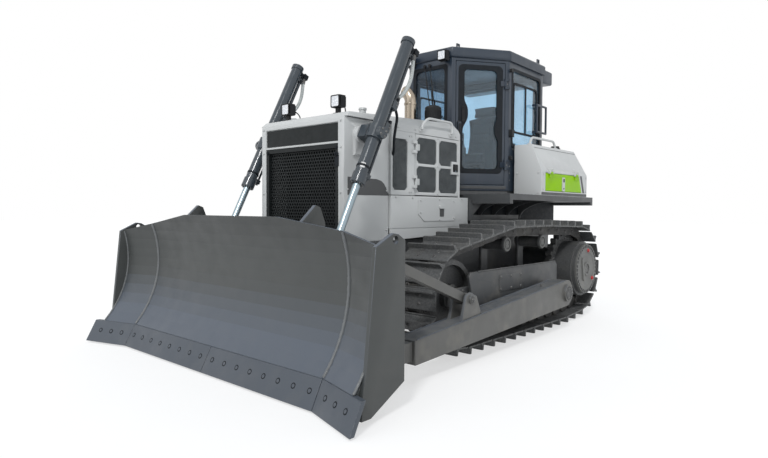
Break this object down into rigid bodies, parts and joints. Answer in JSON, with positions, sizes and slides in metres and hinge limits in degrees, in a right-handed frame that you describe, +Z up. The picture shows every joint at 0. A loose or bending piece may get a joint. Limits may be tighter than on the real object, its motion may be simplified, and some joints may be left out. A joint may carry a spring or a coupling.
{
  "type": "crawler bulldozer",
  "caption": "Crawler bulldozer with a semi-universal blade on outside push arms, grey hood, glazed cab with slanted doors and side tanks.",
  "frame": {"origin": "on the ground under the middle of the machine's box", "axes": "+X forward to the blade, +Y to the machine's left, +Z up"},
  "size_m": [5.2087, 3.552, 3.125],
  "materials": {
    "dark_paint": "satin",
    "light_paint": "satin",
    "lime_paint": "gloss",
    "track_steel": "worn",
    "black_parts": "matte",
    "polished": "polished",
    "glazing": "gloss",
    "upholstery": "matte"
  },
  "bodies": {
    "chassis": {"main_frame": "dark_paint", "engine_block": "track_steel", "drawbar": "dark_paint", "track_frames": "dark_paint", "track_left": "track_steel", "track_right": "track_steel", "final_drives": "track_steel", "idlers": "track_steel", "rollers": "track_steel", "radiator_shell": "light_paint", "radiator_core": "black_parts", "radiator_grille": "black_parts", "hood_top": "light_paint", "hood_fronts": "light_paint", "lower_panels": "light_paint", "exhaust": "polished", "precleaner": "black_parts", "work_lamps": "black_parts", "handrails": "light_paint", "platform": "dark_paint", "tank_boxes": "light_paint", "fuel_tank": "light_paint", "cab_frame": "dark_paint", "cab_roof": "dark_paint", "cab_glass": "glazing", "seat": "upholstery", "controls": "black_parts"},
    "blade": {"moldboard": "dark_paint", "blade_frame": "dark_paint", "cutting_edges": "track_steel", "end_plates": "dark_paint", "push_arms": "dark_paint", "braces": "dark_paint"},
    "barrel_left": {"lift_barrel_left": "dark_paint"},
    "barrel_right": {"lift_barrel_right": "dark_paint"},
    "rod_left": {"lift_rod_left": "polished"},
    "rod_right": {"lift_rod_right": "polished"},
    "door_left": {"cab_door_left": "dark_paint", "door_glass_left": "glazing"},
    "door_right": {"cab_door_right": "dark_paint", "door_glass_right": "glazing"},
    "engine_door_left": {"hood_door_left": "light_paint"},
    "engine_door_right": {"hood_door_right": "light_paint"},
    "lid_left": {"tank_lid_left": "lime_paint"},
    "lid_right": {"tank_lid_right": "lime_paint"}
  },
  "joints": [
    {"name": "blade_lift", "type": "hinge", "parent": "chassis", "child": "blade", "pos_m": [-0.97474, 0, 0.42], "axis": [0, -1, 0], "range_deg": [-7, 16]},
    {"name": "lift_swing_left", "type": "hinge", "parent": "chassis", "child": "barrel_left", "pos_m": [1.28126, 0.745, 1.91], "axis": [0, -1, 0], "range_deg": [-6.4, 14.5]},
    {"name": "lift_rod_left", "type": "slide", "parent": "barrel_left", "child": "rod_left", "axis": [0.4466, 0, -0.8947], "range_m": [-0.76, 0.335]},
    {"name": "lift_swing_right", "type": "hinge", "parent": "chassis", "child": "barrel_right", "pos_m": [1.28126, -0.745, 1.91], "axis": [0, -1, 0], "range_deg": [-6.4, 14.5]},
    {"name": "lift_rod_right", "type": "slide", "parent": "barrel_right", "child": "rod_right", "axis": [0.4466, 0, -0.8947], "range_m": [-0.76, 0.335]},
    {"name": "cab_door_left", "type": "hinge", "parent": "chassis", "child": "door_left", "pos_m": [-0.95168, 0.67578, 2.2], "axis": [0, 0, 1], "range_deg": [0, 110]},
    {"name": "engine_door_left", "type": "hinge", "parent": "chassis", "child": "engine_door_left", "pos_m": [0.54176, 0.596, 1.7], "axis": [0, 0, -1], "range_deg": [0, 100]},
    {"name": "tank_lid_left", "type": "hinge", "parent": "chassis", "child": "lid_left", "pos_m": [-1.71174, 1.066, 1.7045], "axis": [1, 0, 0], "range_deg": [0, 85]},
    {"name": "cab_door_right", "type": "hinge", "parent": "chassis", "child": "door_right", "pos_m": [-0.95168, -0.67578, 2.2], "axis": [0, 0, -1], "range_deg": [0, 110]},
    {"name": "engine_door_right", "type": "hinge", "parent": "chassis", "child": "engine_door_right", "pos_m": [0.54176, -0.596, 1.7], "axis": [0, 0, 1], "range_deg": [0, 100]},
    {"name": "tank_lid_right", "type": "hinge", "parent": "chassis", "child": "lid_right", "pos_m": [-1.71174, -1.066, 1.7045], "axis": [-1, 0, 0], "range_deg": [0, 85]}
  ],
  "couplings": [
    {"joint": "lift_swing_left", "follows": "blade_lift", "ratio": 0.9},
    {"joint": "lift_rod_left", "follows": "blade_lift", "m_per_rad": -2.69},
    {"joint": "lift_swing_right", "follows": "blade_lift", "ratio": 0.9},
    {"joint": "lift_rod_right", "follows": "blade_lift", "m_per_rad": -2.69}
  ]
}
